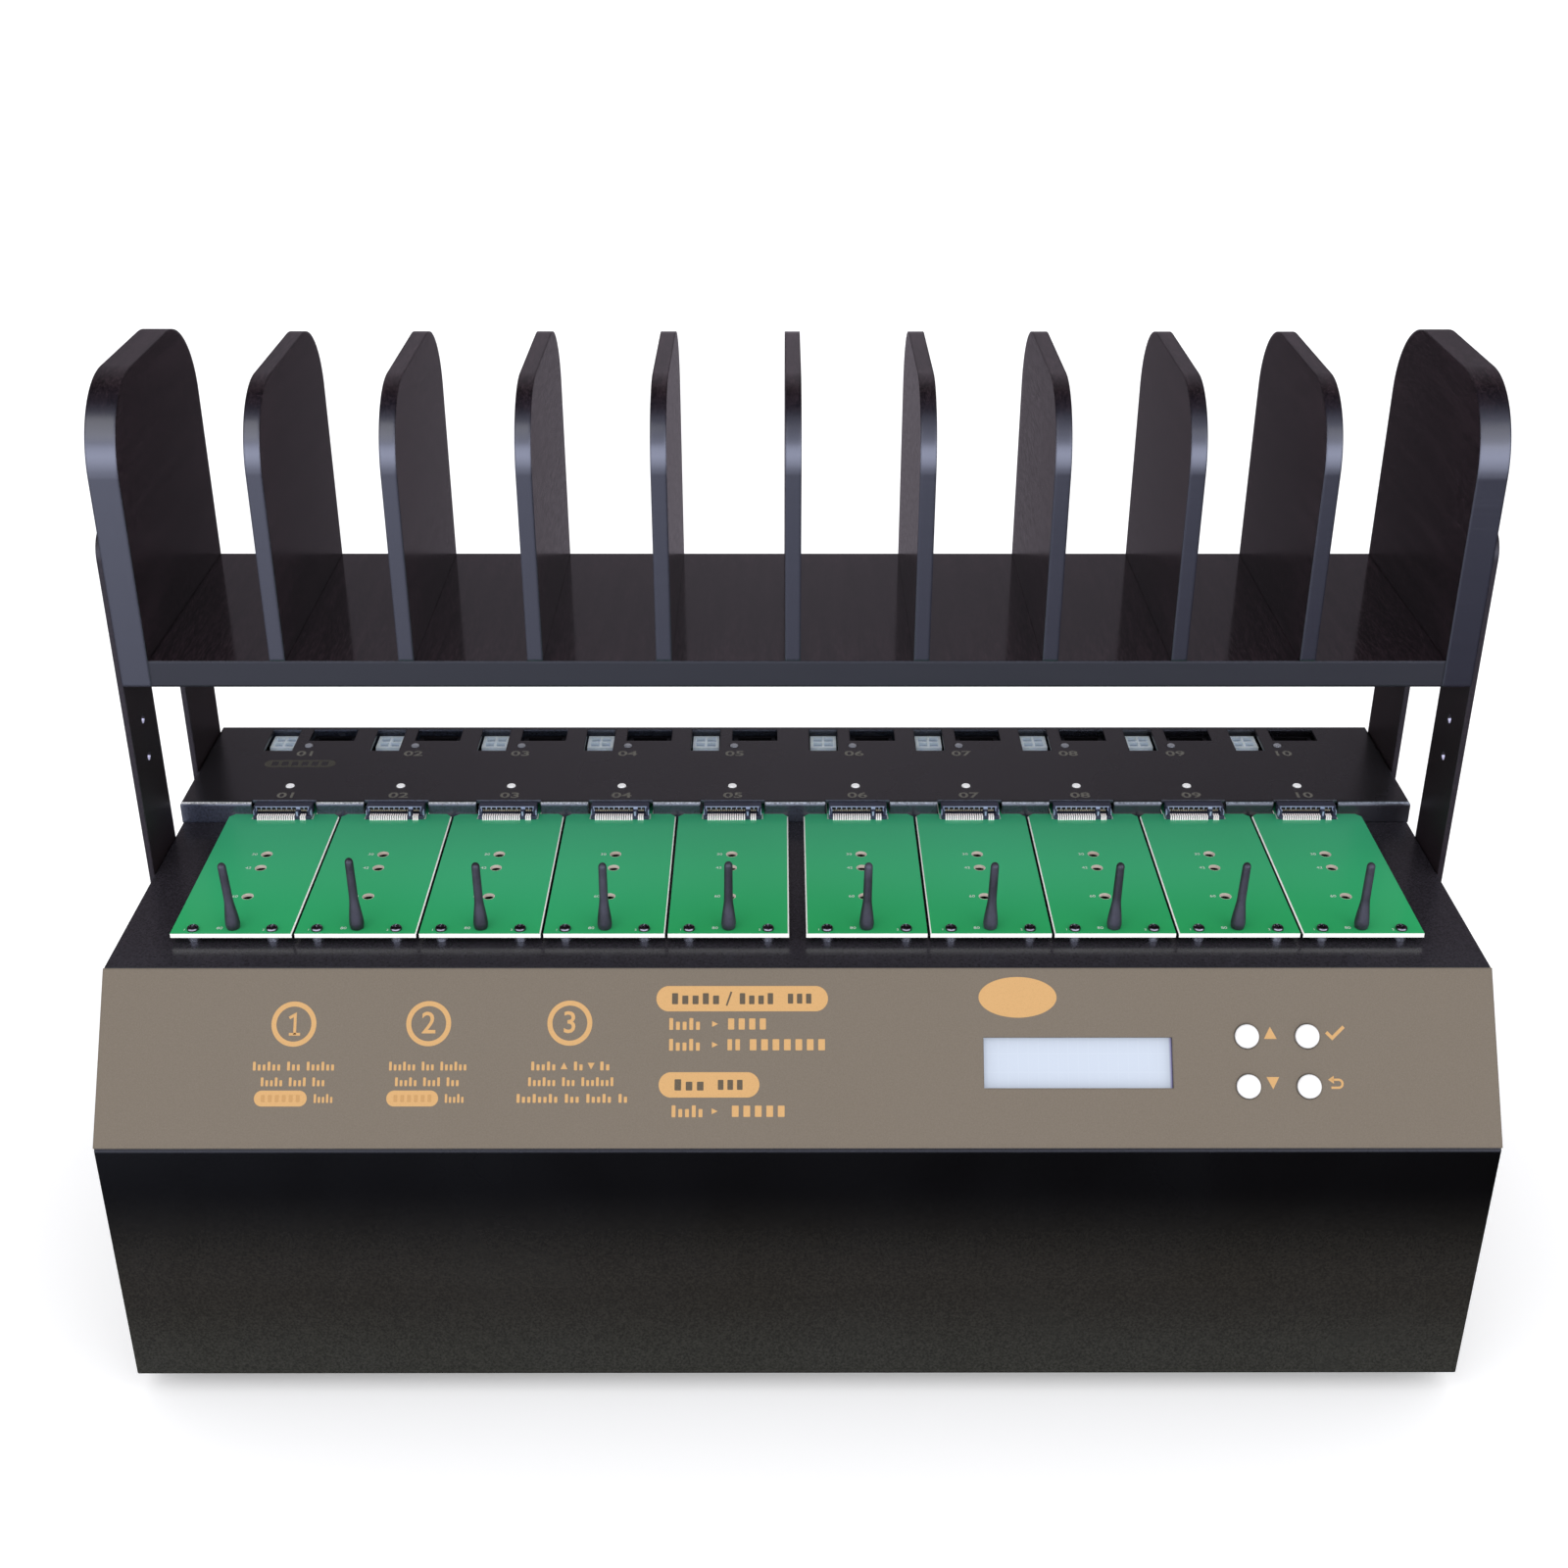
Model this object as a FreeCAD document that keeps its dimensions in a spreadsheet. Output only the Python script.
import FreeCAD, Part
import Sketcher
import os
import re

# Ten-channel drive duplicator: a sheet-steel base with a sloped control panel, ten adapter
# boards on its deck, and a wooden drive rack on two steel brackets above it.
# Millimetres, +Z up, origin on the floor at the middle of the outline, front towards -Y.

os.makedirs("parts", exist_ok=True)
doc = FreeCAD.newDocument("drive_duplicator")
sheet = doc.addObject("Spreadsheet::Sheet", "Dimensions")
sub_parts = {}

SIZES = {
    # base case
    "case_width": 460.0,
    "case_depth": 201.0,
    "front_height": 98.6,
    "slope_run": 35.6,
    "slope_rise": 46.8,
    "cover_wall": 1.5,
    "tray_wall": 1.5,
    "tray_lip": 1.0,
    "tray_flange": 12.0,
    "seam_gap": 0.3,
    "cover_bend": 0.8,
    # feet
    "feet_height": 8.0,
    "feet_radius": 9.0,
    "feet_inset_x": 30.0,
    "feet_inset_y": 28.0,
    "feet_recess_radius": 4.0,
    "feet_recess_depth": 2.5,
    # raised rear housing
    "housing_depth": 65.0,
    "housing_rise": 8.55,
    "housing_wall": 1.5,
    "housing_bend": 1.5,
    "notch_width": 24.2,
    "notch_depth": 1.9,
    # channels: ten across, in two banks of five
    "bank_side": 18.01,
    "bank_gap": 4.78,
    # adapter boards
    "board_seam": 1.02,
    "board_thick": 1.6,
    "board_lift": 2.2,
    "board_chamfer": 2.0,
    "board_length": 84.6,
    "tongue_width": 23.3,
    "tongue_length": 10.0,
    "tongue_gap": 0.4,
    "hole_radius": 2.0,
    "first_hole": 4.0,
    "second_hole": 24.5,
    "third_hole": 44.3,
    "fourth_hole": 54.1,
    "standoff_radius": 2.0,
    "screw_inset": 2.9,
    "screw_spread": 13.36,
    "rear_rest": 70.0,
    "small_head_radius": 2.0,
    "small_head_height": 1.1,
    "small_thread_radius": 1.0,
    "fit_gap": 0.05,
    # drive sockets on the boards
    "socket_width": 21.4,
    "socket_offset": -0.25,
    "socket_set_back": 79.3,
    "socket_depth": 7.4,
    "socket_height": 4.2,
    "socket_lip_depth": 3.6,
    "socket_lip_height": 1.3,
    "socket_slot_height": 1.1,
    "socket_slot_depth": 3.4,
    # rubber retaining posts
    "post_height": 25.0,
    "post_stem_radius": 1.4,
    "post_flare_radius": 2.5,
    "post_flare_height": 8.0,
    "post_foot_radius": 2.15,
    "post_foot_height": 1.2,
    "post_shank_below": 0.5,
    "post_fit": 0.1,
    "post_seat": 0.1,
    # ports under the housing
    "port_board_drop": 15.5,
    "port_board_thick": 1.6,
    "port_board_depth": 57.0,
    "port_board_side": 8.0,
    "port_board_rear": 1.2,
    "deck_opening_side": 12.0,
    "deck_opening_depth": 54.5,
    "deck_opening_rear": 2.5,
    "port_rest_inset": 11.4,
    "header_offset": -12.0,
    "header_opening_width": 11.3,
    "header_opening_depth": 18.8,
    "port_row_rear": 3.2,
    "header_width": 10.2,
    "header_depth": 10.2,
    "header_latch_width": 5.0,
    "header_latch_depth": 4.0,
    "header_latch_drop": 1.0,
    "header_recess": 2.7,
    "header_clearance": 0.5,
    "header_cell": 3.5,
    "header_cell_pitch": 4.3,
    "header_cell_depth": 9.0,
    "sata_offset": 7.45,
    "sata_opening_width": 17.8,
    "sata_opening_depth": 10.1,
    "sata_width": 16.6,
    "sata_depth": 8.6,
    "sata_recess": 2.6,
    "sata_cavity_width": 13.4,
    "sata_cavity_depth": 5.2,
    "sata_cavity_drop": 7.0,
    "sata_tongue_width": 10.4,
    "sata_tongue_thick": 1.3,
    "led_offset": -0.62,
    "port_led_rear": 17.6,
    "board_led_rear": 51.7,
    "led_radius": 1.6,
    "led_clearance": 0.15,
    "led_proud": 0.5,
    "led_dome": 0.6,
    # control panel, measured along the slope from its lower edge
    "overlay_thick": 0.8,
    "window_left": 61.0,
    "window_width": 62.2,
    "window_low": 19.4,
    "window_height": 16.5,
    "button_left": 147.75,
    "button_pitch_x": 19.9,
    "button_low": 19.9,
    "button_pitch_y": 16.35,
    "button_hole_radius": 4.15,
    "button_gap": 0.25,
    "button_proud": 1.2,
    "button_rim": 0.4,
    "button_flange_radius": 5.2,
    "button_flange_thick": 1.0,
    "button_seat": 0.2,
    "display_margin": 4.5,
    "display_thick": 6.0,
    "glass_thick": 1.1,
    "panel_board_thick": 1.6,
    "panel_board_left": 48.0,
    "panel_board_right": 205.0,
    "panel_board_low": 8.0,
    "panel_board_high": 47.0,
    "switch_side": 6.0,
    "switch_height": 3.4,
    "switch_nose_radius": 1.7,
    "switch_nose": 0.6,
    # inner parts
    "main_board_width": 210.0,
    "main_board_depth": 120.0,
    "main_board_side": 18.0,
    "main_board_back": 30.0,
    "main_board_thick": 1.6,
    "chip_count": 5,
    "chip_side": 17.5,
    "chip_height": 6.4,
    "plug_width": 26.2,
    "plug_height": 9.6,
    "boss_height": 8.0,
    "boss_radius": 3.5,
    "boss_inset": 6.0,
    "supply_width": 150.0,
    "supply_depth": 98.0,
    "supply_height": 42.0,
    "supply_side": 35.0,
    "supply_back": 40.0,
    "supply_vent": 3.0,
    "supply_vent_margin": 19.6,
    "supply_vent_count": 9,
    # power inlet with its switch
    "inlet_side": 80.0,
    "inlet_z": 62.0,
    "inlet_width": 27.0,
    "inlet_height": 48.0,
    "inlet_depth": 24.0,
    "inlet_flange": 2.5,
    "inlet_flange_thick": 2.0,
    "inlet_cavity_width": 24.0,
    "inlet_cavity_height": 16.4,
    "inlet_cavity_depth": 17.0,
    "inlet_cavity_low": 3.5,
    "inlet_pin_recess": 5.0,
    "inlet_pin_width": 2.0,
    "inlet_pin_height": 4.0,
    "inlet_pin_spread": 7.0,
    "inlet_pin_low": 5.7,
    "inlet_pin_high": 10.7,
    "rocker_width": 18.6,
    "rocker_height": 12.6,
    "rocker_well_gap": 0.6,
    "rocker_well_depth": 9.0,
    "rocker_above": 33.0,
    "rocker_radius": 7.6,
    "rocker_angle": 9.0,
    "rocker_pin_radius": 1.2,
    "rocker_pin_length": 1.0,
    "rocker_proud": 2.2,
    "rocker_dish": 20.0,
    "rocker_dip": 1.1,
    # case fan
    "fan_inset": 110.0,
    "fan_z": 76.0,
    "fan_side": 60.0,
    "fan_depth": 20.0,
    "fan_bore_radius": 28.5,
    "fan_hole_pitch": 50.0,
    "fan_hole_radius": 2.1,
    "fan_hub_radius": 13.0,
    "fan_hub_depth": 13.0,
    "fan_tip_gap": 1.2,
    "fan_base_thick": 3.0,
    "fan_base_gap": 0.6,
    "fan_strut_width": 4.0,
    "fan_shaft_radius": 1.5,
    "fan_bore_clearance": 0.5,
    "fan_blade_thick": 1.4,
    "fan_blade_chord": 12.0,
    "fan_blade_tilt": 38.0,
    "fan_blade_count": 7,
    "grille_ring": 3.4,
    "grille_bar": 2.4,
    # rack
    "rack_set_back": 3.5,
    "rack_depth": 100.7,
    "shelf_lift": 70.35,
    "shelf_thick": 9.6,
    "side_thick": 10.0,
    "side_height": 103.1,
    "side_corner": 29.0,
    "divider_thick": 5.3,
    "divider_height": 92.0,
    "divider_corner": 26.0,
    "end_bay": 45.44,
    "divider_shift": -1.6,
    # brackets
    "bracket_thick": 2.0,
    "bracket_set_back": 1.0,
    "bracket_front_width": 28.0,
    "bracket_rear_width": 35.0,
    "bracket_top": 125.0,
    "bracket_corner": 9.0,
    "bracket_drop": 72.0,
    "bracket_tie": 26.0,
    "bracket_hole_radius": 1.6,
    "spare_hole_low": 36.5,
    "spare_hole_high": 51.0,
    "rack_hole_low": 84.0,
    "rack_hole_high": 112.0,
    "case_hole": 59.0,
    "screw_radius": 1.5,
    "screw_head_radius": 2.9,
    "screw_head_height": 2.0,
    "screw_length": 8.0,
}

# Lengths that follow from the sizes above, written as expressions of their names.
DERIVED = {
    "half_width": "case_width / 2",
    "front_y": "-(case_depth + inlet_flange_thick + rocker_proud) / 2",
    "rear_y": "front_y + case_depth",
    "cover_base": "feet_height + tray_lip",
    "channel_pitch": "(case_width - bank_gap - 2 * bank_side) / 10",
    "board_width": "channel_pitch - board_seam",
    "slope_base": "feet_height + front_height",
    "deck_z": "slope_base + slope_rise",
    "slope_length": "sqrt(slope_run * slope_run + slope_rise * slope_rise)",
    "slope_sine": "slope_rise / slope_length",
    "slope_cosine": "slope_run / slope_length",
    "housing_y": "rear_y - housing_depth",
    "housing_z": "deck_z + housing_rise",
    "tray_half": "half_width - cover_wall - seam_gap",
    "tray_front": "front_y + cover_wall + seam_gap",
    "floor_z": "feet_height + tray_wall",
    "rear_wall_y": "rear_y - tray_wall",
    "board_y": "board_rear - board_length",
    "board_under": "deck_z + board_lift",
    "board_top": "board_under + board_thick",
    "board_rear": "housing_y - tongue_gap",
    "datum_z": "board_top",
    "socket_y": "board_y + socket_set_back",
    "port_z": "housing_z - port_board_drop",
    "port_rear": "rear_wall_y - port_board_rear",
    "panel_back": "overlay_thick + cover_wall",
    "display_back": "panel_back + display_thick",
    "rack_y": "rack_rear - rack_depth",
    "shelf_z": "datum_z + shelf_lift",
    "shelf_top": "shelf_z + shelf_thick",
    "shelf_half": "half_width - side_thick",
    "divider_pitch": "(shelf_half - end_bay) / 4",
    "rack_rear": "rear_y - rack_set_back",
    "main_board_left": "main_board_side - half_width",
    "supply_left": "half_width - supply_side - supply_width",
    "inlet_x": "half_width - inlet_side",
    "fan_x": "fan_inset - half_width",
    "fan_y": "rear_wall_y - fan_depth",
    "main_board_y": "rear_wall_y - main_board_back - main_board_depth",
    "rocker_y": "rear_y + inlet_flange_thick - rocker_well_depth / 2",
    "rocker_z": "inlet_z + rocker_above",
}


def words(text):
    """Writes an expression of size names as one that reads the sheet."""
    def swap(match):
        name = match.group(0)
        if name in DERIVED:
            return "(" + words(DERIVED[name]) + ")"
        if name in SIZES:
            return "Dimensions." + name
        return name
    return re.sub(r"[a-z_]+", swap, str(text))


def number(text):
    """Gives an expression's value, for loops and for finding edges."""
    return float(sheet.evalExpression(words(text)))


def bind(thing, **values):
    """Ties properties of an object to expressions of the sizes."""
    for name, text in values.items():
        thing.setExpression(name, words(text))
    return thing


def place(thing, x="0", y="0", z="0", axis=None, angle="0"):
    """Puts an object at a point, turned about one axis."""
    if axis is not None:
        thing.Placement = FreeCAD.Placement(FreeCAD.Vector(), FreeCAD.Rotation(axis, 1))
        thing.setExpression(".Placement.Rotation.Angle", words(angle))
    thing.setExpression(".Placement.Base.x", words(x))
    thing.setExpression(".Placement.Base.y", words(y))
    thing.setExpression(".Placement.Base.z", words(z))
    return thing


def block(x_low, x_high, y_low, y_high, z_low, z_high):
    """A box between two corners."""
    box = doc.addObject("Part::Box", "block")
    bind(box, Length=f"({x_high}) - ({x_low})", Width=f"({y_high}) - ({y_low})")
    bind(box, Height=f"({z_high}) - ({z_low})")
    return place(box, x_low, y_low, z_low)


def middle_block(x, width, y_low, y_high, z_low, z_high):
    """A box centred on x."""
    return block(f"({x}) - ({width}) / 2", f"({x}) + ({width}) / 2", y_low, y_high, z_low, z_high)


ALONG_X = (FreeCAD.Vector(0, 1, 0), "90")
ALONG_Y = (FreeCAD.Vector(1, 0, 0), "-90")


def rod(radius, length, x, y, z, way=(None, "0")):
    """A round bar from a point, standing up unless a way is given."""
    bar = doc.addObject("Part::Cylinder", "rod")
    bind(bar, Radius=radius, Height=length)
    return place(bar, x, y, z, *way)


def cone(low_radius, high_radius, length, x, y, z):
    """An upright tapered bar."""
    bar = doc.addObject("Part::Cone", "taper")
    bind(bar, Radius1=low_radius, Radius2=high_radius, Height=length)
    return place(bar, x, y, z)


def ball(radius, x, y, z):
    """A full ball."""
    whole = doc.addObject("Part::Sphere", "ball")
    bind(whole, Radius=radius)
    return place(whole, x, y, z)


def fuse(*things):
    """One solid from several."""
    joined = doc.addObject("Part::MultiFuse", "joined")
    joined.Shapes = list(things)
    joined.Refine = True
    return joined


def group(things):
    """Several loose solids kept together."""
    loose = doc.addObject("Part::Compound", "group")
    loose.Links = list(things)
    return loose


def cut(thing, *tools):
    """A solid less one or more tools."""
    cutter = tools[0]
    if len(tools) > 1:
        cutter = group(tools)
    left = doc.addObject("Part::Cut", "cut")
    left.Base = thing
    left.Tool = cutter
    return left


def keep(name, thing):
    """Names a finished sub-part."""
    thing.Label = name
    sub_parts[name] = thing
    return thing


def on_panel(thing):
    """Lays a piece drawn flat on the sloped panel: x across, y up the slope, z outwards."""
    lean = "atan(slope_rise / slope_run)"
    return place(group([thing]), "0", "front_y", "slope_base", FreeCAD.Vector(1, 0, 0), lean)


def plane_of(body, role):
    """A body's own origin plane."""
    return next(item for item in body.Origin.OriginFeatures if item.Role == role)


def outline(body, role, points):
    """A closed outline of straight lines in a sketch, each corner tied to two expressions."""
    sketch = body.newObject("Sketcher::SketchObject", "outline")
    sketch.AttachmentSupport = (plane_of(body, role), "")
    sketch.MapMode = "FlatFace"
    corners = [FreeCAD.Vector(number(a), number(b), 0) for a, b in points]
    count = len(corners)
    for index in range(count):
        line = Part.LineSegment(corners[index], corners[(index + 1) % count])
        sketch.addGeometry(line, False)
    for index in range(count):
        sketch.addConstraint(Sketcher.Constraint("Coincident", index, 2, (index + 1) % count, 1))
    for index, (a, b) in enumerate(points):
        for kind, text, value in (("DistanceX", a, corners[index].x), ("DistanceY", b, corners[index].y)):
            spot = sketch.addConstraint(Sketcher.Constraint(kind, -1, 1, index, 1, value))
            sketch.setExpression(f"Constraints[{spot}]", words(text))
    return sketch


def pad(body, sketch, length, both_ways=False, turned=False):
    """Gives an outline its thickness."""
    feature = body.newObject("PartDesign::Pad", "pad")
    feature.Profile = sketch
    bind(feature, Length=length)
    feature.Midplane = both_ways
    feature.Reversed = turned
    body.Tip = feature
    doc.recompute()
    return feature


def pocket(body, sketch, length):
    """Cuts an outline out on both sides of its plane, and makes sure that something was cut."""
    before = body.Shape.Volume
    feature = body.newObject("PartDesign::Pocket", "pocket")
    feature.Profile = sketch
    bind(feature, Length=length)
    feature.Midplane = True
    body.Tip = feature
    doc.recompute()
    if not body.Shape.Volume < before:
        raise ValueError("a pocket of " + body.Label + " cut nothing")
    return feature


def round_edges(body, radius, wanted):
    """Rounds the edges that a test of their middle and direction picks."""
    base = body.Tip
    names = []
    for index, edge in enumerate(base.Shape.Edges, 1):
        middle = edge.valueAt((edge.FirstParameter + edge.LastParameter) / 2)
        if wanted(edge, middle):
            names.append(f"Edge{index}")
    feature = body.newObject("PartDesign::Fillet", "rounding")
    feature.Base = (base, names)
    bind(feature, Radius=radius)
    body.Tip = feature
    doc.recompute()
    return feature


def near(first, second, slack=0.01):
    """True for two lengths that agree."""
    return abs(first - second) < slack


def level(edge, axis):
    """True for a straight edge that lies along one axis."""
    first, last = edge.Vertexes[0].Point, edge.Vertexes[-1].Point
    step = (last - first)
    rest = [abs(part) for index, part in enumerate((step.x, step.y, step.z)) if index != axis]
    return max(rest) < 0.01


# The spreadsheet of driving dimensions.
for row, (name, value) in enumerate(SIZES.items(), 1):
    sheet.set(f"A{row}", name.replace("_", " "))
    sheet.set(f"B{row}", str(value))
    sheet.setAlias(f"B{row}", name)
doc.recompute()

CHANNELS = range(10)
BANK = 5


def channel_x(index):
    """The middle of a channel, with the gap between the banks shared out."""
    side = "+" if index >= BANK else "-"
    return f"({index - BANK + 0.5}) * channel_pitch {side} bank_gap / 2"


def case_cover():
    """Folded steel: front, slope, deck and sides in one, open at the bottom and at the rear."""
    body = doc.addObject("PartDesign::Body", "case_cover")
    drop = "(overlay_thick / slope_cosine)"
    back = "(overlay_thick / slope_sine)"
    outer = [
        ("front_y", "cover_base"),
        ("front_y", f"slope_base - {drop}"),
        (f"front_y + slope_run + {back}", "deck_z"),
        ("rear_y", "deck_z"),
        ("rear_y", "cover_base"),
    ]
    pad(body, outline(body, "YZ_Plane", outer), "case_width", both_ways=True)
    lean = "(cover_wall * (1 - slope_cosine) / slope_sine)"
    knee = "(cover_wall * (1 - slope_sine) / slope_cosine)"
    inner = [
        ("front_y + cover_wall", "cover_base - cover_wall"),
        ("front_y + cover_wall", f"slope_base - {drop} - {knee}"),
        (f"front_y + slope_run + {back} + {lean}", "deck_z - cover_wall"),
        ("rear_y + cover_wall", "deck_z - cover_wall"),
        ("rear_y + cover_wall", "cover_base - cover_wall"),
    ]
    half = number("half_width")
    base = number("cover_base")
    rear = number("rear_y")

    def rim(edge, middle):
        at_side = near(abs(middle.x), half)
        return at_side and middle.z > base + 0.01 and middle.y < rear - 0.01

    round_edges(body, "cover_bend", rim)
    pocket(body, outline(body, "YZ_Plane", inner), "case_width - 2 * cover_wall")

    opening = block(
        "-half_width + deck_opening_side", "half_width - deck_opening_side",
        "rear_y - deck_opening_rear - deck_opening_depth", "rear_y - deck_opening_rear",
        "deck_z - 2 * cover_wall", "deck_z + cover_wall")
    window = on_panel(block(
        "window_left", "window_left + window_width", "window_low", "window_low + window_height",
        "-panel_back - cover_wall", "cover_wall"))
    tools = [opening, window]
    for x, y in button_places():
        depth = "panel_back + 2 * cover_wall"
        tools.append(on_panel(rod("button_hole_radius", depth, x, y, "-panel_back - cover_wall")))
    tools += bracket_holes("case")
    keep("case_cover", cut(body, *tools))


def bracket_holes(which, radius="bracket_hole_radius", length="8 * bracket_thick"):
    """Cross holes on both sides for the screws that hold the brackets."""
    heights = {
        "case": ["-case_hole"],
        "rack": ["rack_hole_low", "rack_hole_high"],
        "spare": ["spare_hole_low", "spare_hole_high"],
    }[which]
    holes = []
    for side in (-1, 1):
        for y in bracket_columns():
            for height in heights:
                x = f"{side} * half_width - ({length}) / 2"
                holes.append(rod(radius, length, x, y, f"datum_z + {height}", ALONG_X))
    return holes


def bracket_columns():
    """Where the front and the rear column of bracket holes stand."""
    front = "(rack_y + bracket_set_back + bracket_front_width / 2)"
    rear = "(rack_rear - bracket_rear_width / 2)"
    return [front, rear]


def base_tray():
    """The floor, its low flanges and the rear wall, with the inlet cut-out and the fan grille."""
    outer = block("-tray_half", "tray_half", "tray_front", "rear_y", "feet_height",
                  "feet_height + tray_flange")
    inner = block("-tray_half + tray_wall", "tray_half - tray_wall", "tray_front + tray_wall",
                  "rear_wall_y", "floor_z", "feet_height + 2 * tray_flange")
    rear = block("-tray_half", "tray_half", "rear_wall_y", "rear_y", "feet_height",
                 "deck_z - cover_wall - seam_gap")
    bosses = [rod("boss_radius", "boss_height", x, y, "floor_z") for x, y in boss_places()]
    tray = fuse(cut(outer, inner), rear, *bosses)
    through = ("rear_wall_y - tray_wall", "rear_y + tray_wall")
    inlet = middle_block("inlet_x", "inlet_width + 2 * seam_gap", *through,
                         "inlet_z - seam_gap", "inlet_z + inlet_height + seam_gap")
    tools = [inlet, grille_slots()]
    for x, z in fan_corners():
        tools.append(rod("fan_hole_radius", "3 * tray_wall", x, through[0], z, ALONG_Y))
    keep("base_tray", cut(tray, *tools))


def boss_places():
    """The pressed bosses that carry the main board."""
    left = "main_board_left + boss_inset"
    right = "main_board_left + main_board_width - boss_inset"
    front = "main_board_y + boss_inset"
    rear = "main_board_y + main_board_depth - boss_inset"
    return [(left, front), (left, rear), (right, front), (right, rear)]


def grille_slots():
    """Ring slots in front of the fan, crossed by two bars."""
    rings = []
    count = 4
    start = ("rear_wall_y - tray_wall", "3 * tray_wall")
    for index in range(count):
        high = f"fan_bore_radius - {2 * index} * grille_ring"
        low = f"fan_bore_radius - {2 * index + 1} * grille_ring"
        disc = rod(high, start[1], "fan_x", start[0], "fan_z", ALONG_Y)
        core = rod(low, f"2 * ({start[1]})", "fan_x", f"{start[0]} - tray_wall", "fan_z", ALONG_Y)
        rings.append(cut(disc, core))
    span = "2 * fan_bore_radius"
    far = ("rear_wall_y - 2 * tray_wall", "rear_y + 4 * tray_wall")
    upright = middle_block("fan_x", "grille_bar", *far, f"fan_z - {span}", f"fan_z + {span}")
    flat = middle_block("fan_x", f"2 * {span}", *far, "fan_z - grille_bar / 2", "fan_z + grille_bar / 2")
    return cut(group(rings), fuse(upright, flat))


def fan_corners():
    """The fan's four screw places."""
    reach = "fan_hole_pitch / 2"
    return [(f"fan_x + {a} * {reach}", f"fan_z + {b} * {reach}") for a in (-1, 1) for b in (-1, 1)]


def feet():
    """Four round rubber feet with a recess for their screw."""
    pieces = []
    for side in (-1, 1):
        for y in ("front_y + feet_inset_y", "rear_y - feet_inset_y"):
            x = f"{side} * (half_width - feet_inset_x)"
            foot = rod("feet_radius", "feet_height", x, y, "0")
            pieces.append(cut(foot, rod("feet_recess_radius", "feet_recess_depth", x, y, "0")))
    keep("rubber_feet", group(pieces))


def rear_housing():
    """The raised steel cap over the ports, its front flap notched for the drive sockets."""
    body = doc.addObject("PartDesign::Body", "rear_housing")
    corners = [
        ("-half_width", "housing_y"),
        ("half_width", "housing_y"),
        ("half_width", "rear_y"),
        ("-half_width", "rear_y"),
    ]
    pad(body, outline(body, "XY_Plane", corners), "housing_rise")
    top = number("housing_rise")
    round_edges(body, "housing_bend", lambda edge, middle: near(middle.z, top))
    place(body, "0", "0", "deck_z")
    inside = block("-half_width + housing_wall", "half_width - housing_wall", "housing_y + housing_wall",
                   "rear_y - housing_wall", "deck_z - housing_wall", "housing_z - housing_wall")
    high = ("housing_z - 2 * housing_wall", "housing_z + housing_wall")
    rear = "(rear_y - port_row_rear)"
    tools = [inside]
    for index in CHANNELS:
        x = channel_x(index)
        tools.append(middle_block(f"{x} + socket_offset", "notch_width", "housing_y - housing_wall",
                                  "housing_y + notch_depth", "deck_z - housing_wall", high[1]))
        tools.append(middle_block(f"{x} + header_offset", "header_opening_width",
                                  f"{rear} - header_opening_depth", rear, *high))
        tools.append(middle_block(f"{x} + sata_offset", "sata_opening_width",
                                  f"{rear} - sata_opening_depth", rear, *high))
        for back in ("port_led_rear", "board_led_rear"):
            tools.append(rod("led_radius + led_clearance", "3 * housing_wall", f"{x} + led_offset",
                             f"rear_y - {back}", high[0]))
    keep("rear_housing", cut(body, *tools))


def port_board():
    """The long board under the deck opening that carries the ports and lights."""
    half = "half_width - port_board_side"
    keep("port_board", block(f"-({half})", half, "port_rear - port_board_depth", "port_rear",
                             "port_z - port_board_thick", "port_z"))


def port_connectors():
    """Power headers, data sockets and lights, one set for each channel."""
    headers, sockets, lights = [], [], []
    for index in CHANNELS:
        x = channel_x(index)
        headers.append(power_header(f"({x} + header_offset)"))
        sockets.append(sata_socket(f"({x} + sata_offset)"))
        for back in ("port_led_rear", "board_led_rear"):
            y = f"rear_y - {back}"
            reach = "port_board_drop + led_proud - led_dome"
            stem = rod("led_radius", reach, f"{x} + led_offset", y, "port_z")
            dome = cone("led_radius", "led_radius / 2", "led_dome", f"{x} + led_offset", y,
                        f"port_z + {reach}")
            lights.append(fuse(stem, dome))
    keep("power_headers", group(headers))
    keep("data_sockets", group(sockets))
    keep("channel_lights", group(lights))


def power_header(x):
    """A four-way header: two by two square cells, and a latch ledge on its front."""
    rear = "(rear_y - port_row_rear - header_clearance)"
    front = f"({rear} - header_depth)"
    top = "(housing_z - header_recess)"
    shell = middle_block(x, "header_width", front, rear, "port_z", top)
    latch = middle_block(x, "header_latch_width", f"{front} - header_latch_depth", front, "port_z",
                         f"{top} - header_latch_drop")
    cells = []
    for a in (-1, 1):
        for b in (-1, 1):
            low_x = f"{x} + {a} * header_cell_pitch / 2"
            low_y = f"{front} + header_depth / 2 + {b} * header_cell_pitch / 2"
            cells.append(middle_block(low_x, "header_cell", f"{low_y} - header_cell / 2",
                                      f"{low_y} + header_cell / 2", f"{top} - header_cell_depth",
                                      f"{top} + header_cell"))
    return cut(fuse(shell, latch), *cells)


def sata_socket(x):
    """An upright data socket: a walled cavity with a contact tongue."""
    middle = "(rear_y - port_row_rear - sata_opening_depth / 2)"
    top = "(housing_z - sata_recess)"

    def span(depth):
        return f"{middle} - {depth} / 2", f"{middle} + {depth} / 2"

    shell = middle_block(x, "sata_width", *span("sata_depth"), "port_z", top)
    cavity = middle_block(x, "sata_cavity_width", *span("sata_cavity_depth"),
                          f"{top} - sata_cavity_drop", f"{top} + sata_cavity_drop")
    tongue = middle_block(x, "sata_tongue_width", *span("sata_tongue_thick"),
                          f"{top} - sata_cavity_drop", f"{top} - sata_tongue_thick")
    return fuse(cut(shell, cavity), tongue)


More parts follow.
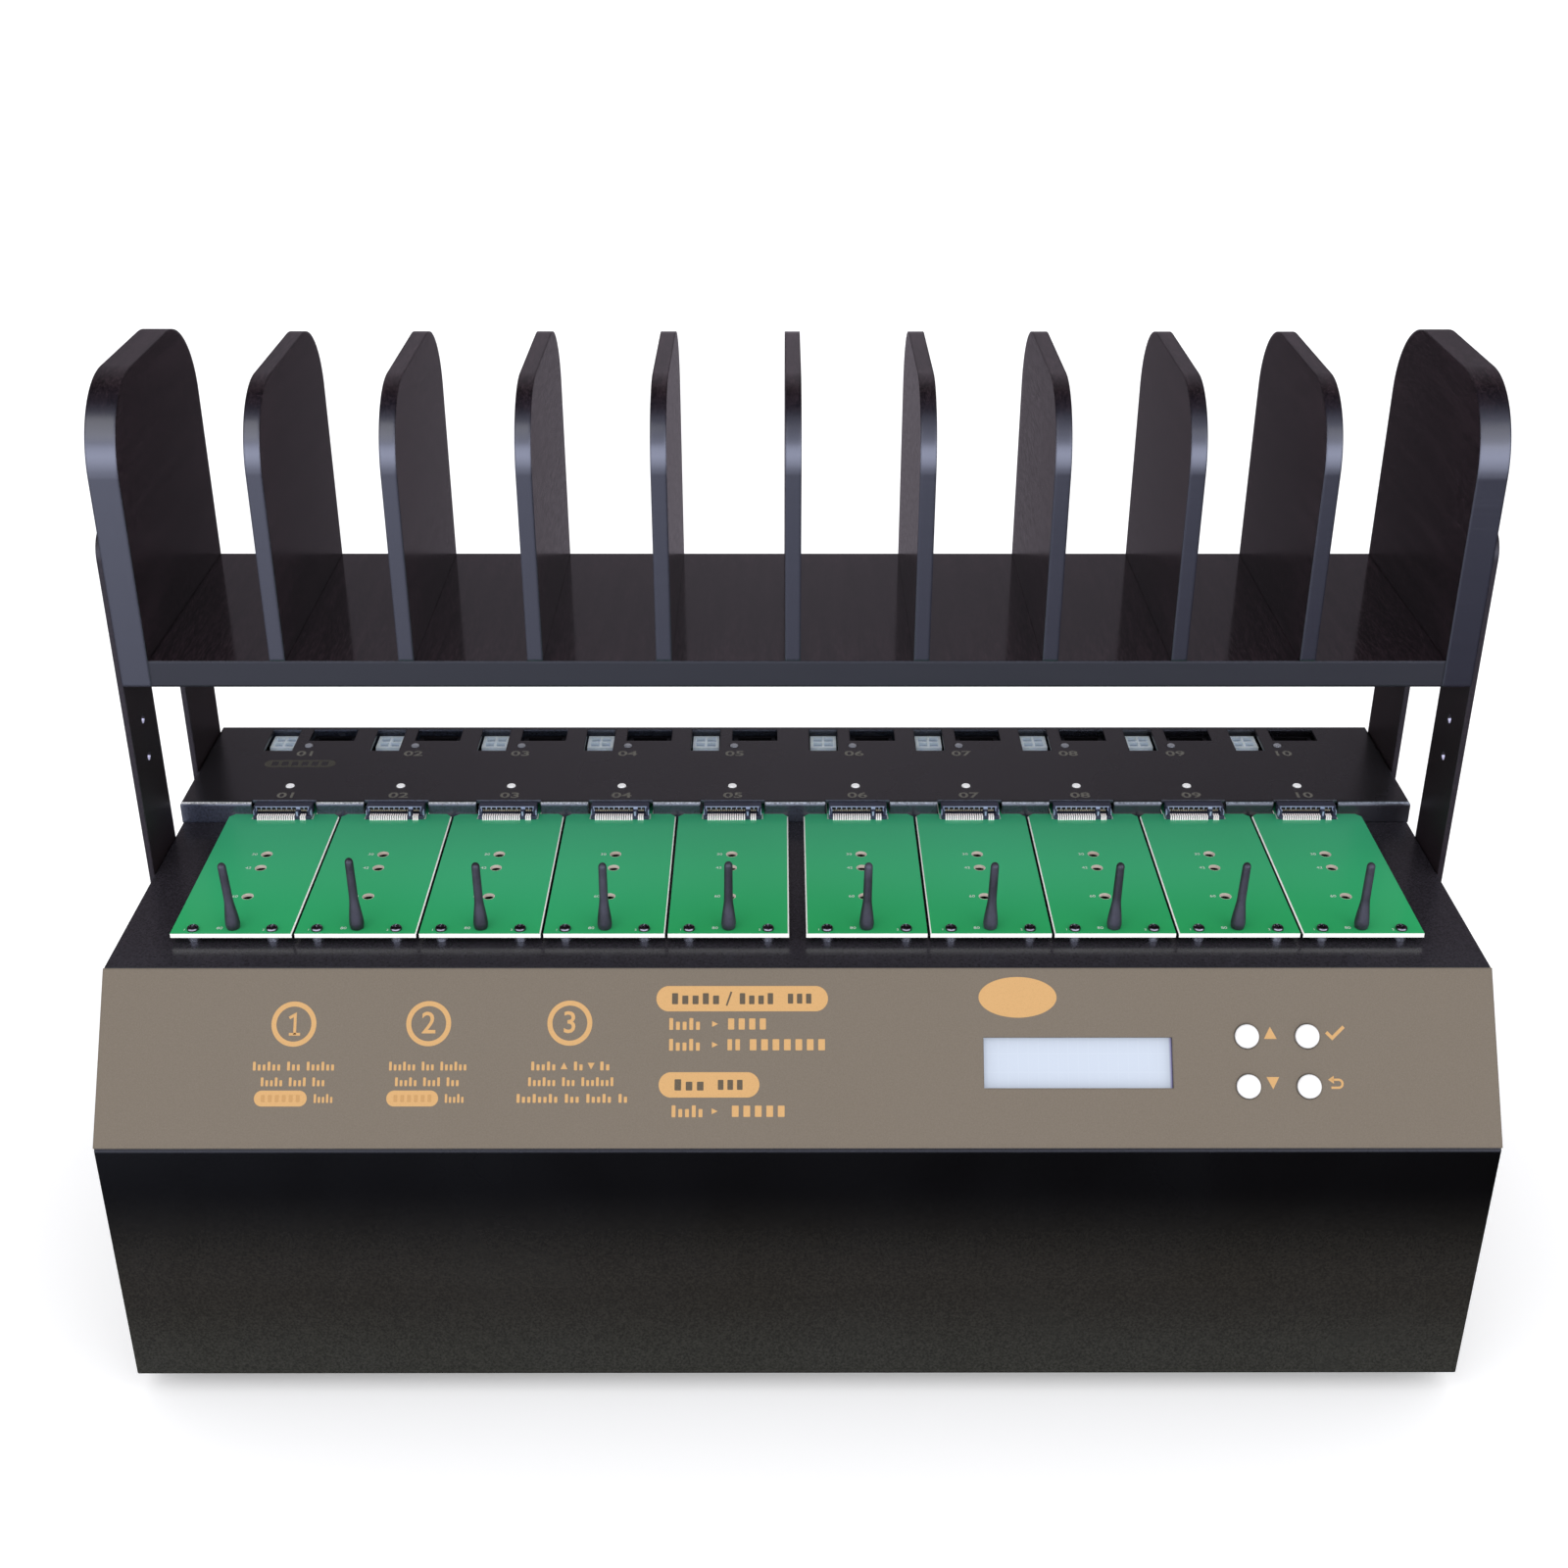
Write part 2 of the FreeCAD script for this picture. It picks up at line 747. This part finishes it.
def adapter_boards():
    """Ten boards with chamfered rear corners, a tongue into the housing and four round holes."""
    for index in CHANNELS:
        body = doc.addObject("PartDesign::Body", f"adapter_board_{index + 1:02d}")
        edge = "board_width / 2"
        tongue = "tongue_width / 2"
        near_side = "board_y"
        far_side = "board_rear"
        right = [
            (edge, near_side),
            (edge, f"{far_side} - board_chamfer"),
            (f"{edge} - board_chamfer", far_side),
            (tongue, far_side),
            (tongue, f"{far_side} + tongue_length"),
        ]
        left = [(f"-({a})", b) for a, b in reversed(right)]
        pad(body, outline(body, "XY_Plane", right + left), "board_thick")
        place(body, channel_x(index), "0", "board_under")
        tools = []
        for spot in ("first_hole", "second_hole", "third_hole", "fourth_hole"):
            tools.append(rod("hole_radius", "3 * board_thick", channel_x(index), f"board_y + {spot}",
                             "board_under - board_thick"))
        for side in (-1, 1):
            tools.append(rod("small_thread_radius + fit_gap", "3 * board_thick",
                             f"{channel_x(index)} + {side} * screw_spread", "board_y + screw_inset",
                             "board_under - board_thick"))
        keep(f"adapter_board_{index + 1:02d}", cut(body, *tools))


def board_hardware():
    """Standoffs under the boards and the port board, and the small screws on the boards."""
    standoffs, screws = [], []
    for index in CHANNELS:
        for side in (-1, 1):
            x = f"{channel_x(index)} + {side} * screw_spread"
            y = "board_y + screw_inset"
            tube = rod("standoff_radius", "board_lift", x, y, "deck_z")
            bore = rod("small_thread_radius + fit_gap", "2 * board_lift", x, y, "deck_z - board_lift / 2")
            standoffs.append(cut(tube, bore))
            standoffs.append(rod("standoff_radius", "board_lift", x, "board_y + rear_rest", "deck_z"))
            head = rod("small_head_radius", "small_head_height", x, y, "board_top")
            thread = rod("small_thread_radius", "board_thick + board_lift", x, y, "deck_z")
            screws.append(fuse(head, thread))
    for side in (-1, 1):
        x = f"{side} * (half_width - deck_opening_side + standoff_radius)"
        for y in ("port_rear - port_rest_inset", "port_rear - port_board_depth + port_rest_inset"):
            standoffs.append(rod("standoff_radius", "deck_z - cover_wall - port_z", x, y, "port_z"))
    keep("board_standoffs", group(standoffs))
    keep("board_screws", group(screws))


def drive_sockets():
    """Ten low sockets on the boards: a slotted bar behind a lower lip."""
    pieces = []
    for index in CHANNELS:
        x = f"{channel_x(index)} + socket_offset"
        front = "socket_y"
        wall = f"{front} + socket_lip_depth"
        bar = middle_block(x, "socket_width", front, f"{front} + socket_depth", "board_top",
                           "board_top + socket_height")
        over_lip = middle_block(x, "2 * socket_width", f"{front} - socket_depth", wall,
                                "board_top + socket_lip_height", "board_top + 2 * socket_height")
        slot = middle_block(x, "socket_width - 2 * socket_lip_height", front,
                            f"{wall} + socket_slot_depth", "board_top + socket_lip_height",
                            "board_top + socket_lip_height + socket_slot_height")
        pieces.append(cut(bar, over_lip, slot))
    keep("drive_sockets", group(pieces))


def retaining_posts():
    """Ten soft rubber posts, each plugged into the first hole of its board."""
    for index in CHANNELS:
        x = channel_x(index)
        y = "board_y + first_hole"
        low = "(board_top + post_seat)"
        shank = rod("hole_radius - post_fit", "board_thick + post_shank_below + post_seat", x, y,
                    "board_under - post_shank_below")
        foot = cone("post_foot_radius", "post_flare_radius", "post_foot_height", x, y, low)
        flare = cone("post_flare_radius", "post_stem_radius", "post_flare_height - post_foot_height",
                     x, y, f"{low} + post_foot_height")
        stem = rod("post_stem_radius", "post_height - post_flare_height - post_stem_radius", x, y,
                   f"{low} + post_flare_height")
        tip = ball("post_stem_radius", x, y, f"{low} + post_height - post_stem_radius")
        keep(f"retaining_post_{index + 1:02d}", fuse(shank, foot, flare, stem, tip))


def control_panel():
    """The printed overlay, the display behind its window and the key board."""
    skin = block("-half_width", "half_width", "0", "slope_length", "-overlay_thick", "0")
    window = block("window_left", "window_left + window_width", "window_low",
                   "window_low + window_height", "-2 * overlay_thick", "overlay_thick")
    holes = []
    for x, y in button_places():
        holes.append(rod("button_hole_radius", "3 * overlay_thick", x, y, "-2 * overlay_thick"))
    keep("control_overlay", on_panel(cut(skin, window, *holes)))

    def around(margin, low, high):
        return block(f"window_left - {margin}", f"window_left + window_width + {margin}",
                     f"window_low - {margin}", f"window_low + window_height + {margin}", low, high)

    frame = around("display_margin", "-display_back", "-panel_back")
    seat = around("0", "-panel_back - glass_thick", "0")
    keep("display_frame", on_panel(cut(frame, seat)))
    keep("display_glass", on_panel(around("0", "-panel_back - glass_thick", "-panel_back")))

    board = block("panel_board_left", "panel_board_right", "panel_board_low", "panel_board_high",
                  "-display_back - panel_board_thick", "-display_back")
    switches = []
    for x, y in button_places():
        switches.append(middle_block(x, "switch_side", f"{y} - switch_side / 2", f"{y} + switch_side / 2",
                                     "-display_back", "-display_back + switch_height"))
        switches.append(rod("switch_nose_radius", "switch_nose", x, y, "-display_back + switch_height"))
    keep("key_board", on_panel(fuse(board, *switches)))


def button_places():
    """The middles of the four buttons: up, down, accept, back."""
    places = []
    for column in range(2):
        for row in (1, 0):
            x = f"button_left + {column} * button_pitch_x"
            places.append((x, f"button_low + {row} * button_pitch_y"))
    return places


def buttons():
    """Four round caps with a soft rim and a flange that keeps them behind the steel."""
    names = ("button_up", "button_down", "button_accept", "button_back")
    for name, (x, y) in zip(names, button_places()):
        back = "(-panel_back - button_seat)"
        reach = "button_proud - button_rim"
        cap_radius = "button_hole_radius - button_gap"
        cap = rod(cap_radius, f"{reach} - {back}", x, y, back)
        rim = cone(cap_radius, f"{cap_radius} - button_rim", "button_rim", x, y, reach)
        flange = rod("button_flange_radius", "button_flange_thick", x, y, f"{back} - button_flange_thick")
        keep(name, on_panel(fuse(cap, rim, flange)))


def inner_parts():
    """The controller board on its bosses and the boxed power supply on the floor."""
    front = "main_board_y"
    low = "(floor_z + boss_height)"
    top = f"({low} + main_board_thick)"
    plate = block("main_board_left", "main_board_left + main_board_width", front,
                  f"{front} + main_board_depth", low, top)
    parts = [plate]
    chip_y = f"({front} + main_board_depth / 2)"
    plug_y = f"({front} + main_board_depth - boss_inset)"
    for index in range(int(number("chip_count"))):
        x = f"main_board_left + main_board_width * ({index} + 0.5) / chip_count"
        parts.append(middle_block(x, "chip_side", f"{chip_y} - chip_side / 2", f"{chip_y} + chip_side / 2",
                                  top, f"{top} + chip_height"))
        parts.append(middle_block(x, "plug_width", f"{plug_y} - boss_inset", plug_y, top,
                                  f"{top} + plug_height"))
    keep("main_board", fuse(*parts))

    rear = "(rear_wall_y - supply_back)"
    box = block("supply_left", "supply_left + supply_width", f"{rear} - supply_depth", rear, "floor_z",
                "floor_z + supply_height")
    slots = []
    count = int(number("supply_vent_count"))
    for index in range(count):
        x = f"supply_left + supply_width * ({index} + 1) / ({count} + 1)"
        slots.append(middle_block(x, "supply_vent", f"{rear} - supply_depth + supply_vent_margin",
                                  f"{rear} - supply_vent_margin",
                                  "floor_z + supply_height - supply_vent",
                                  "floor_z + supply_height + supply_vent"))
    keep("power_supply", cut(box, *slots))


def power_inlet():
    """A mains inlet with its rocker well above it, in one snapped-in block."""
    mouth = "(rear_y + inlet_flange_thick)"
    body = middle_block("inlet_x", "inlet_width", "rear_y - inlet_depth", "rear_y", "inlet_z",
                        "inlet_z + inlet_height")
    flange = middle_block("inlet_x", "inlet_width + 2 * inlet_flange", "rear_y", mouth,
                          "inlet_z - inlet_flange", "inlet_z + inlet_height + inlet_flange")
    low = "(inlet_z + inlet_cavity_low)"
    cavity = middle_block("inlet_x", "inlet_cavity_width", f"{mouth} - inlet_cavity_depth",
                          f"{mouth} + inlet_flange_thick", low, f"{low} + inlet_cavity_height")
    well_low = "(rocker_z - rocker_height / 2 - rocker_well_gap)"
    well_high = "(rocker_z + rocker_height / 2 + rocker_well_gap)"
    well = middle_block("inlet_x", "rocker_width + 2 * rocker_well_gap", f"{mouth} - rocker_well_depth",
                        f"{mouth} + inlet_flange_thick", well_low, well_high)
    pins = []
    for side, height in ((-1, "inlet_pin_low"), (1, "inlet_pin_low"), (0, "inlet_pin_high")):
        z = f"{low} + {height}"
        pins.append(middle_block(f"inlet_x + {side} * inlet_pin_spread", "inlet_pin_width",
                                 f"{mouth} - inlet_cavity_depth", f"{mouth} - inlet_pin_recess",
                                 f"{z} - inlet_pin_height / 2", f"{z} + inlet_pin_height / 2"))
    axle = rod("rocker_pin_radius + fit_gap",
               "rocker_width + 2 * (rocker_well_gap + rocker_pin_length) + 2 * fit_gap",
               "inlet_x - rocker_width / 2 - rocker_well_gap - rocker_pin_length - fit_gap",
               "rocker_y", "rocker_z", ALONG_X)
    keep("power_inlet", cut(fuse(cut(fuse(body, flange), cavity, well), *pins), axle))


def power_rocker():
    """The rocker, at rest tipped to off: a dished bar on two pins, drawn about its pin's middle."""
    drum = rod("rocker_radius", "rocker_width", "-rocker_width / 2", "0", "0", ALONG_X)
    crest = "rocker_well_depth / 2 + rocker_proud"
    tall = "rocker_height - 2 * rocker_well_gap"
    slab = middle_block("0", "rocker_width", "-rocker_radius / 3", crest, f"-({tall}) / 2", f"({tall}) / 2")
    bar = doc.addObject("Part::MultiCommon", "common")
    bar.Shapes = [drum, slab]
    dish = rod("rocker_dish", "2 * rocker_width", "-rocker_width", f"{crest} + rocker_dish - rocker_dip",
               "0", ALONG_X)
    pin_reach = "(rocker_width / 2 + rocker_well_gap + rocker_pin_length)"
    pin = rod("rocker_pin_radius", f"2 * {pin_reach}", f"-{pin_reach}", "0", "0", ALONG_X)
    rocker = group([fuse(cut(bar, dish), pin)])
    place(rocker, "inlet_x", "rocker_y", "rocker_z", FreeCAD.Vector(1, 0, 0), "rocker_angle")
    keep("power_rocker", rocker)


def fan():
    """A boxed axial fan: a square frame with a motor seat on struts, and its bladed rotor."""
    frame = middle_block("fan_x", "fan_side", "fan_y", "rear_wall_y", "fan_z - fan_side / 2",
                         "fan_z + fan_side / 2")
    tools = [rod("fan_bore_radius", "2 * fan_depth", "fan_x", "fan_y - fan_depth / 2", "fan_z", ALONG_Y)]
    for x, z in fan_corners():
        tools.append(rod("fan_hole_radius", "2 * fan_depth", x, "fan_y - fan_depth / 2", z, ALONG_Y))
    seat = rod("fan_hub_radius", "fan_base_thick", "fan_x", "fan_y", "fan_z", ALONG_Y)
    shaft = rod("fan_shaft_radius", "fan_base_thick + fan_base_gap + fan_hub_depth / 2", "fan_x",
                "fan_y", "fan_z", ALONG_Y)
    struts = [
        middle_block("fan_x", "fan_side", "fan_y", "fan_y + fan_base_thick",
                     "fan_z - fan_strut_width / 2", "fan_z + fan_strut_width / 2"),
        middle_block("fan_x", "fan_strut_width", "fan_y", "fan_y + fan_base_thick",
                     "fan_z - fan_side / 2", "fan_z + fan_side / 2"),
    ]
    keep("fan_frame", fuse(cut(frame, *tools), seat, shaft, *struts))

    hub_y = "(fan_y + fan_base_thick + fan_base_gap)"
    hub = rod("fan_hub_radius", "fan_hub_depth", "0", "0", "0")
    reach = "(fan_bore_radius - fan_tip_gap)"
    blades = []
    count = int(number("fan_blade_count"))
    for index in range(count):
        blade = block("fan_hub_radius - fan_blade_thick", reach, "-fan_blade_chord / 2",
                      "fan_blade_chord / 2", "-fan_blade_thick / 2", "fan_blade_thick / 2")
        tilted = place(group([blade]), "0", "0", "fan_hub_depth / 2", FreeCAD.Vector(1, 0, 0),
                       "fan_blade_tilt")
        turned = place(group([tilted]), "0", "0", "0", FreeCAD.Vector(0, 0, 1), f"{index} * 360 / {count}")
        blades.append(turned)
    bore = rod("fan_shaft_radius + fit_gap", "fan_hub_depth / 2 + fan_bore_clearance", "0", "0", "0")
    rim = rod(reach, "fan_hub_depth", "0", "0", "0")
    bladed = doc.addObject("Part::MultiCommon", "common")
    bladed.Shapes = [fuse(hub, *blades), rim]
    rotor = cut(bladed, bore)
    keep("fan_rotor", place(rotor, "fan_x", hub_y, "fan_z", *ALONG_Y))


def rack():
    """Two thick side panels, a shelf between them and nine thin dividers on it."""
    shelf = block("-shelf_half", "shelf_half", "rack_y", "rack_rear", "shelf_z", "shelf_top")
    keep("rack_shelf", shelf)
    for name, side in (("rack_side_left", -1), ("rack_side_right", 1)):
        panel = upright(name, "side_height", "side_thick", "side_corner")
        x = "-half_width" if side < 0 else "shelf_half"
        place(panel, x, "0", "shelf_z")
        keep(name, cut(panel, *bracket_holes("rack", "screw_radius + fit_gap")))
    for index in range(1, 10):
        name = f"rack_divider_{index}"
        panel = upright(name, "divider_height", "divider_thick", "divider_corner")
        place(panel, f"({index - BANK}) * divider_pitch + divider_shift - divider_thick / 2", "0", "shelf_top")
        keep(name, panel)


def upright(name, height, thickness, corner):
    """A panel across the shelf's depth with its two top corners rounded."""
    body = doc.addObject("PartDesign::Body", name)
    points = [("rack_y", "0"), ("rack_rear", "0"), ("rack_rear", height), ("rack_y", height)]
    pad(body, outline(body, "YZ_Plane", points), thickness)
    top = number(height)
    round_edges(body, corner, lambda edge, middle: near(middle.z, top) and level(edge, 0))
    return body


def brackets():
    """Flat steel brackets outside the case: two uprights tied together low down."""
    front_low = "(rack_y + bracket_set_back)"
    rear_low = "(rack_rear - bracket_rear_width)"
    low = "(datum_z - bracket_drop)"
    for name, side in (("bracket_left", -1), ("bracket_right", 1)):
        body = doc.addObject("PartDesign::Body", name)
        points = [
            (front_low, low),
            ("rack_rear", low),
            ("rack_rear", "datum_z + bracket_top"),
            (rear_low, "datum_z + bracket_top"),
            (rear_low, f"{low} + bracket_tie"),
            (f"{front_low} + bracket_front_width", f"{low} + bracket_tie"),
            (f"{front_low} + bracket_front_width", "datum_z + bracket_top"),
            (front_low, "datum_z + bracket_top"),
        ]
        pad(body, outline(body, "YZ_Plane", points), "bracket_thick")
        top = number("datum_z + bracket_top")
        round_edges(body, "bracket_corner", lambda edge, middle: near(middle.z, top) and level(edge, 0))
        place(body, "-half_width - bracket_thick" if side < 0 else "half_width")
        tools = bracket_holes("case") + bracket_holes("rack") + bracket_holes("spare")
        keep(name, cut(body, *tools))


def rack_screws():
    """Pan-head screws through the brackets, into the rack's sides and the case."""
    pieces = []
    for side in (-1, 1):
        face = "(half_width + bracket_thick)"
        for y in bracket_columns():
            for height in ("rack_hole_low", "rack_hole_high", "-case_hole"):
                z = f"datum_z + {height}"
                inner = f"{face} - screw_length" if side > 0 else f"-{face}"
                outer = face if side > 0 else f"-{face} - screw_head_height"
                shank = rod("screw_radius", "screw_length", inner, y, z, ALONG_X)
                head = rod("screw_head_radius", "screw_head_height", outer, y, z, ALONG_X)
                pieces.append(fuse(shank, head))
    keep("rack_screws", group(pieces))


case_cover()
base_tray()
feet()
rear_housing()
port_board()
port_connectors()
adapter_boards()
board_hardware()
drive_sockets()
retaining_posts()
control_panel()
buttons()
inner_parts()
power_inlet()
power_rocker()
fan()
rack()
brackets()
rack_screws()
doc.recompute()

# Every object has computed, and every sub-part is a sound shape, before anything is written.
for thing in doc.Objects:
    if "Invalid" in thing.State or "Error" in thing.State:
        raise ValueError("not computed: " + thing.Label)
for name, thing in sub_parts.items():
    if thing.Shape.isNull() or not thing.Shape.isValid():
        raise ValueError("bad shape: " + name)
for name, thing in sub_parts.items():
    thing.Shape.exportStep(f"parts/{name}.step")
print(len(sub_parts), "sub-parts")
